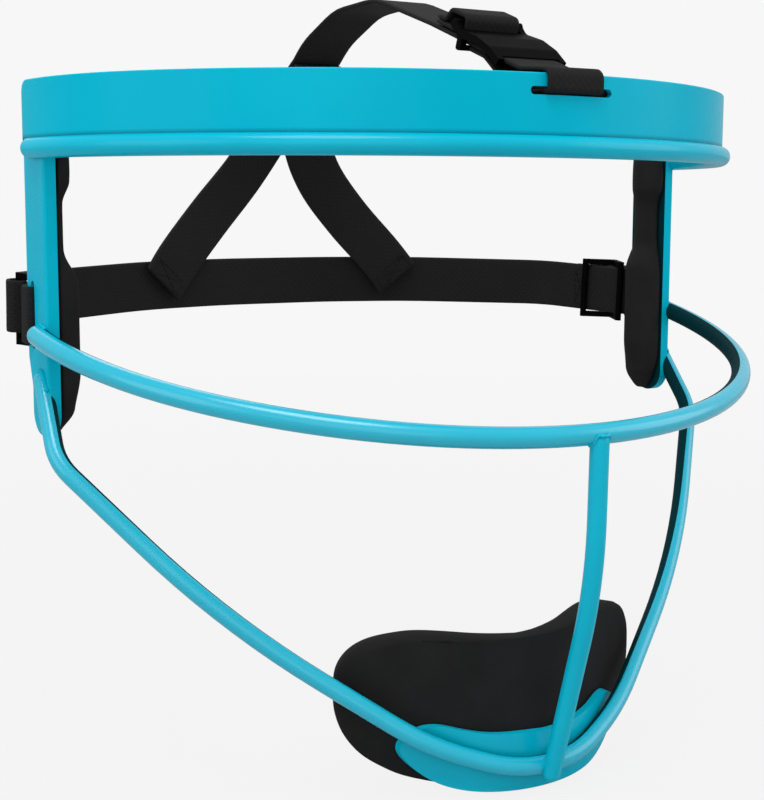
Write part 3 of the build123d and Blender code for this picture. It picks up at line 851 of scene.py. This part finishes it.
def rounded_route(corners, radii, longest):
    """Points along a flat polygon with rounded corners, no step longer than the longest."""
    points = [Vector(corners[0])]
    for before, corner, after, radius in zip(corners, corners[1:], corners[2:], radii):
        here = Vector(corner)
        run_in = (here - Vector(before)).normalized()
        run_out = (Vector(after) - here).normalized()
        turn = math.atan2(run_in.x * run_out.y - run_in.y * run_out.x, run_in.dot(run_out))
        reach = radius * math.tan(abs(turn) / 2)
        sign = 1 if turn > 0 else -1
        begin = here - run_in * reach
        centre = begin + Vector((-run_in.y, run_in.x)) * radius * sign
        arm = begin - centre
        steps = max(fewest_corner_steps, math.ceil(abs(turn) / corner_step))
        for step in range(steps + 1):
            cosine, sine = math.cos(turn * step / steps), math.sin(turn * step / steps)
            turned = Vector((arm.x * cosine - arm.y * sine, arm.x * sine + arm.y * cosine))
            points.append(centre + turned)
    points.append(Vector(corners[-1]))
    route = [points[0]]
    for first, second in zip(points, points[1:]):
        length = (second - first).length
        if length < shortest_step:
            continue
        pieces = max(1, math.ceil(length / longest))
        route += [first.lerp(second, step / pieces) for step in range(1, pieces + 1)]
    return route


def with_faces(centres, across):
    """Stations of a strap whose width lies one way all along: centre, across and out."""
    stations = []
    for index, centre in enumerate(centres):
        run = centres[min(index + 1, len(centres) - 1)] - centres[max(index - 1, 0)]
        stations.append((centre, Vector(across), Vector(across).cross(run).normalized()))
    return stations


def ribbon_mesh(name, stations, widths):
    """Woven strap through stations, with its lengthwise and crosswise distances kept on it."""
    made = bmesh.new()
    weave = made.verts.layers.float_vector.new("weave")
    section = section_shares + [(x, -y) for x, y in reversed(section_shares[1:-1])]
    distance = 0.0
    rings = []
    for index, (centre, across, out) in enumerate(stations):
        if index:
            distance += (centre - stations[index - 1][0]).length
        half = widths[index] / 2
        ring = []
        for wide, thick in section:
            deep = webbing_thickness * mm / 2 * thick
            vert = made.verts.new(centre + across * half * wide + out * deep)
            vert[weave] = (distance, half * wide, wide)
            ring.append(vert)
        rings.append(ring)
    joined(made, rings, True)
    return finished(made, name)


def strap(name, stations, widths, body, node):
    """A strap as a piece that stands for its CAD node."""
    piece = new_piece(name, ribbon_mesh(name, stations, widths), webbing, body)
    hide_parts(node)


plate_outer_x = 94.2
plate_thickness = 3.0
plate_rear_y = 6.6
slot_middle_y = 2.1
strap_clearance = 0.3
strap_middle_z = -22.9
strap_rise = math.radians(3.2)
strap_exit = Vector((91.3, 8.6))
strap_side = Vector((82.3, 38.5))
strap_along = (strap_side - strap_exit).normalized()
strap_outward = Vector((strap_along.y, -strap_along.x))
fold_radius = 0.8


def beside_run(run, out):
    """A plan point beside the strap's straight run."""
    return tuple(strap_exit + strap_along * run + strap_outward * out)


def raised(point):
    """A point drawn with the strap level, turned up about the plates' rear edges, in metres."""
    x, y, z = point
    y -= plate_rear_y
    z -= strap_middle_z
    turned_y = y * math.cos(strap_rise) - z * math.sin(strap_rise)
    turned_z = y * math.sin(strap_rise) + z * math.cos(strap_rise)
    return Vector((x, plate_rear_y + turned_y, strap_middle_z + turned_z)) * mm


layer = webbing_thickness + sewn_gap
strap_outer_x = plate_outer_x + strap_clearance + webbing_thickness / 2
strap_inner_x = plate_outer_x - plate_thickness - strap_clearance - webbing_thickness / 2
back_half = [
    beside_run(19.0, layer),
    beside_run(2.4, layer),
    (strap_outer_x, plate_rear_y + strap_clearance),
    (strap_outer_x, slot_middle_y),
    (strap_inner_x, slot_middle_y),
    (strap_inner_x, plate_rear_y + strap_clearance),
    tuple(strap_exit),
    tuple(strap_side),
    (44.0, 57.6),
    (17.0, 62.4),
]
back_turns = [1.1, 1.1, fold_radius, fold_radius, fold_radius, 3.0, 15.0, 70.0, 90.0]
back_corners = back_half + [(-x, y) for x, y in reversed(back_half)]
back_route = rounded_route(back_corners, back_turns + back_turns[::-1], longest_step)
back_across = Vector((0.0, -math.sin(strap_rise), math.cos(strap_rise)))
back_centres = [raised((x, y, strap_middle_z)) for x, y in back_route]
back_stations = with_faces(back_centres, back_across)
strap("back_webbing", back_stations, [back_width * mm] * len(back_stations), "guard", "back_strap")

# The top strap loops through the band's slot, runs back over the crown, and goes on down to
# the back strap as one of the two diagonals. The other is sewn under it at the crown.
top_width = 15.0
diagonal_width = 14.4
diagonal_steps = 8
diagonal_flat_places = 3
top_run_start = Vector((-70.0, 32.9))
top_run_end = Vector((-34.0, 45.9))
top_along = (top_run_end - top_run_start).normalized()
top_upward = Vector((-top_along.y, top_along.x))


def beside_top_run(y, out):
    """A side-view point at a place along Y, moved out of the strap's straight run."""
    return tuple(top_run_start + top_along * ((y - top_run_start.x) / top_along.x) + top_upward * out)


top_corners = [
    beside_top_run(-51.5, -layer),
    beside_top_run(-57.0, -layer),
    (-60.5, 33.4),
    (-65.5, 27.6),
    (-75.0, 27.4),
    (-81.05, 27.4),
    (-81.05, 31.9),
    tuple(top_run_start),
    tuple(top_run_end),
    (-8.0, 54.3),
    (13.0, 53.6),
    (30.0, 47.1),
    (36.0, 42.6),
]
top_turns = [4.0, 4.0, 4.0, 4.0, fold_radius, 2.0, 4.0, 28.0, 28.0, 28.0, 28.0]
top_route = rounded_route(top_corners, top_turns, longest_step)
top_stations = with_faces([Vector((0.0, y, z)) * mm for y, z in top_route], (1.0, 0.0, 0.0))
crown_start, crown_end = top_corners[-2:]
crown_slope = math.atan2(crown_start[1] - crown_end[1], crown_end[0] - crown_start[0])
crown_tip = 90.0 - math.degrees(crown_slope)
diagonal_places = [
    ((0.0, 36.0, 42.6), crown_tip, 0.0, 0.0),
    ((2.0, 46.6, 33.4), 40.0, 0.0, 14.0),
    ((6.0, 54.9, 22.4), 28.0, -2.0, 26.0),
    ((12.6, 59.2, 11.0), 14.0, -5.0, 38.0),
    ((22.6, 59.9, -0.8), 5.0, -8.0, 42.0),
    ((33.2, 57.5, -12.4), 0.0, -12.0, 41.0),
    ((39.0, 55.8, -19.6), 0.0, -16.0, 40.0),
]


def diagonal_stations(side, inset):
    """Stations of a diagonal from the crown to the back strap, and its widths."""
    last = len(diagonal_places) - 1
    centres, acrosses, outs, widths = [], [], [], []
    for index, ((x, y, z), tip, turn, slant) in enumerate(diagonal_places):
        depth = inset * min(1.0, (last - index) / (last - diagonal_flat_places))
        tipped = math.radians(tip)
        sunk = (side * x, y - depth * math.cos(tipped), z - depth * math.sin(tipped))
        centres.append(Vector(sunk) * mm)
        turned = Matrix.Rotation(math.radians(side * turn), 3, "Z") @ Matrix.Rotation(tipped, 3, "X")
        turned = turned @ Matrix.Rotation(math.radians(-side * slant), 3, "Y")
        acrosses.append(turned @ Vector((1.0, 0.0, 0.0)))
        outs.append(turned @ Vector((0.0, 1.0, 0.0)))
        widths.append((top_width + (diagonal_width - top_width) * index / last) * mm)
    lines = [smooth_through(values, diagonal_steps) for values in (centres, acrosses, outs)]
    stations = [(centre, across.normalized(), out.normalized()) for centre, across, out in zip(*lines)]
    wide = []
    for index in range(len(stations)):
        number, step = divmod(index, diagonal_steps)
        here = widths[number]
        after = widths[min(number + 1, last)]
        wide.append(here + (after - here) * step / diagonal_steps)
    return stations, wide


near_stations, near_widths = diagonal_stations(-1, 0.0)
far_stations, far_widths = diagonal_stations(1, webbing_thickness + 2 * strap_clearance)
top_all = top_stations + near_stations[1:]
top_wide = [top_width * mm] * len(top_stations) + near_widths[1:]
strap("top_webbing", top_all, top_wide, "guard", "top_strap")
strap("diagonal_webbing", far_stations, far_widths, "guard", "diagonal_strap")


# Each slider holds a short loop of webbing, folded round its outer bar and sewn to itself
# behind the bar. The loop moves with its slider.
bar_length = 1.9
loop_width = 12.6
loop_rise = 0.85
loop_step = 2.0
side_loop = dict(bar_place=7.8, bar_thickness=1.5, reach=4.4, tail=6.7, join=2.4, slack=1.1, bend=1.7)
top_loop = dict(bar_place=25.2, bar_thickness=2.3, reach=2.4, tail=9.0, join=6.0, slack=0.3, bend=1.4)
loop_low = (3 * webbing_thickness + sewn_gap) / 2 + strap_clearance


def loop_route(bar_place, bar_thickness, reach, tail, join, slack, bend):
    """Side view of a folded loop, along the strap and out of it, slack round its bar."""
    front = bar_place - reach + webbing_thickness / 2
    behind = bar_place + bar_length / 2
    upper = loop_low + layer
    high = loop_low + webbing_thickness + 2 * sewn_gap + bar_thickness + slack
    corners = [
        (behind + tail, upper),
        (behind + join, upper),
        (behind + join - bar_length, high),
        (front, high),
        (front, loop_low),
        (behind + tail, loop_low),
    ]
    return rounded_route(corners, [fold_radius, bend, bend, fold_radius], loop_step)


def on_side(side, run, out):
    """A point on either side of the back strap, along its straight run and out of it."""
    x, y = beside_run(run, out)
    place = raised((x, y, strap_middle_z))
    return Vector((side * place.x, place.y, place.z))


def on_top(run, out):
    """A point of the top strap's middle plane, along its straight run and out of it."""
    point = top_run_start + top_along * run + top_upward * out
    return Vector((0.0, point.x, point.y)) * mm


for side, side_name in ((1, "left"), (-1, "right")):
    loop_centres = []
    for run, out in loop_route(**side_loop):
        loop_centres.append(on_side(side, run, out + layer / 2) + back_across * loop_rise * mm)
    strap(
        f"loop_webbing_{side_name}",
        with_faces(loop_centres, back_across),
        [loop_width * mm] * len(loop_centres),
        f"slider_{side_name}_body",
        f"slider_loop_{side_name}",
    )

top_side = Vector((1.0, 0.0, 0.0))
top_loop_centres = [on_top(run, out - layer / 2) for run, out in loop_route(**top_loop)]
strap(
    "loop_webbing_top",
    with_faces(top_loop_centres, top_side),
    [top_width * mm] * len(top_loop_centres),
    "top_slider_body",
    "top_slider_loop",
)


# Flat bonded thread holds every fold and both diagonals, in boxes sewn across from corner
# to corner.
thread_colour = (0.0085, 0.0085, 0.0088, 1.0)
stitch_length = 1.9
stitch_gap = 0.35
stitch_form = ((0.0, 0.35), (0.15, 0.9), (0.5, 1.0), (0.85, 0.9), (1.0, 0.35))
thread_sides = 8
thread_width = 0.5
thread_height = 0.16
loop_box_run = 13.1
loop_box = (3.6, 9.8)
tail_box_run = 16.9
tail_box = (3.4, 10.6)
top_loop_box_run = 33.4
top_tail_box_run = 16.6
top_box = (3.2, 11.6)
crown_box = (5.0, 11.6)
crown_stations_back = 3
diagonal_box = (4.6, 11.0)
diagonal_box_back = 4
diagonal_run_back = 7


def thread_mesh(name, rows):
    """Short flat stitches along rows, each row a start, an end and the cloth's outward way."""
    made = bmesh.new()
    for start, end, out in rows:
        run = end - start
        count = max(1, round(run.length / ((stitch_length + stitch_gap) * mm)))
        along = run.normalized()
        beside = along.cross(out).normalized()
        for number in range(count):
            begin = start + run * (number / count) + along * (stitch_gap / 2 * mm)
            finish = start + run * ((number + 1) / count) - along * (stitch_gap / 2 * mm)
            rings = []
            for place, size in stitch_form:
                middle = begin.lerp(finish, place)
                ring = []
                for step in range(thread_sides):
                    angle = math.tau * step / thread_sides
                    wide = beside * math.cos(angle) * thread_width / 2
                    high = out * math.sin(angle) * thread_height
                    ring.append(made.verts.new(middle + (wide + high) * size * mm))
                rings.append(ring)
            joined(made, rings, True)
    return finished(made, name)


def crossed_box(middle, along, across, out, size):
    """Rows of a sewn box with its two diagonals, lying on the cloth."""
    lengthwise, crosswise = along * (size[0] / 2 * mm), across * (size[1] / 2 * mm)
    corners = [middle + lengthwise * x + crosswise * y for x, y in ((-1, -1), (1, -1), (1, 1), (-1, 1))]
    pairs = ((0, 1), (1, 2), (2, 3), (3, 0), (0, 2), (1, 3))
    return [(corners[first], corners[second], out) for first, second in pairs]


def bonded_thread():
    """Twisted black thread, a little shinier than the webbing."""
    material, start, sockets = new_material("bonded_thread")
    place = start.node("ShaderNodeTexCoord", output="Object")
    twist = start.node("ShaderNodeTexNoise", {"Vector": place, "Scale": 4000.0, "Detail": 2.0})
    bump = start.node("ShaderNodeBump", {"Height": twist, "Distance": 0.05 * mm, "Strength": 0.5})
    set_sockets(
        sockets,
        Base_Color=thread_colour,
        Roughness=twist * 0.2 + 0.5,
        Normal=bump,
        Specular_IOR_Level=0.1,
    )
    return material


thread = bonded_thread()


def sewn(name, rows, body):
    """Rows of stitches as a piece that rides on a body."""
    new_piece(name, thread_mesh(name, rows), thread, body)


loop_face = layer / 2 + loop_low + layer + webbing_thickness / 2
for side, side_name in ((1, "left"), (-1, "right")):
    along = (on_side(side, 1.0, 0.0) - on_side(side, 0.0, 0.0)).normalized()
    out = (on_side(side, 0.0, 1.0) - on_side(side, 0.0, 0.0)).normalized()
    loop_spot = on_side(side, loop_box_run, loop_face) + back_across * loop_rise * mm
    loop_rows = crossed_box(loop_spot, along, back_across, out, loop_box)
    sewn(f"loop_thread_{side_name}", loop_rows, f"slider_{side_name}_body")
    tail_spot = on_side(side, tail_box_run, layer + webbing_thickness / 2)
    under_spot = on_side(side, tail_box_run, -webbing_thickness / 2)
    tail_rows = crossed_box(tail_spot, along, back_across, out, tail_box)
    tail_rows += crossed_box(under_spot, along, back_across, -out, tail_box)
    sewn(f"tail_thread_{side_name}", tail_rows, "guard")

top_out = Vector((0.0, top_upward.x, top_upward.y))
top_way = Vector((0.0, top_along.x, top_along.y))
top_loop_spot = on_top(top_loop_box_run, loop_face - layer)
top_tail_spot = on_top(top_tail_box_run, -layer - webbing_thickness / 2)
sewn("loop_thread_top", crossed_box(top_loop_spot, top_way, top_side, top_out, top_box), "top_slider_body")
sewn("tail_thread_top", crossed_box(top_tail_spot, top_way, top_side, -top_out, top_box), "guard")

crown_index = len(top_stations) - crown_stations_back
crown_centre, crown_across, _ = top_stations[crown_index]
crown_way = (top_stations[-1][0] - top_stations[crown_index - 1][0]).normalized()
crown_up = crown_way.cross(crown_across)
crown_up = crown_up if crown_up.z > 0 else -crown_up
crown_spot = crown_centre + crown_up * (webbing_thickness / 2 * mm)
crown_rows = crossed_box(crown_spot, crown_way, crown_across, crown_up, crown_box)
for stations in (near_stations, far_stations):
    end_centre, end_across, end_out = stations[-diagonal_box_back]
    end_way = (stations[-1][0] - stations[-diagonal_run_back][0]).normalized()
    inner = end_out if end_out.dot(end_centre) < 0 else -end_out
    end_spot = end_centre + inner * (webbing_thickness / 2 * mm)
    crown_rows += crossed_box(end_spot, end_way, end_across, inner, diagonal_box)
sewn("crown_thread", crown_rows, "guard")


# The sliders: moulded black nylon with a fine satin grain, one on each side of the back
# strap and a larger hooded one on the top strap.
nylon_colour = (0.0005, 0.0005, 0.0006, 1.0)
nylon_light = (0.0014, 0.0014, 0.0016, 1.0)


def moulded_nylon():
    """Black nylon with faint flow marks and fine scratches."""
    material, start, sockets = new_material("moulded_nylon")
    place = start.node("ShaderNodeTexCoord", output="Object")
    cloud = start.node("ShaderNodeTexNoise", {"Vector": place, "Scale": 160.0, "Detail": 4.0})
    grain = start.node("ShaderNodeTexNoise", {"Vector": place, "Scale": 3200.0, "Detail": 2.0})
    colour = start.mixed(cloud.ramped(0.35, 0.7), nylon_colour, nylon_light)
    bump = start.node("ShaderNodeBump", {"Height": grain + cloud, "Distance": 0.02 * mm, "Strength": 0.4})
    set_sockets(
        sockets,
        Base_Color=colour,
        Roughness=cloud * 0.18 + grain * 0.08 + 0.40,
        Normal=bump,
        Specular_IOR_Level=0.03,
    )
    return material


nylon = moulded_nylon()
for moulded in ("slider_left", "slider_right", "top_slider"):
    finish_node(moulded, nylon)
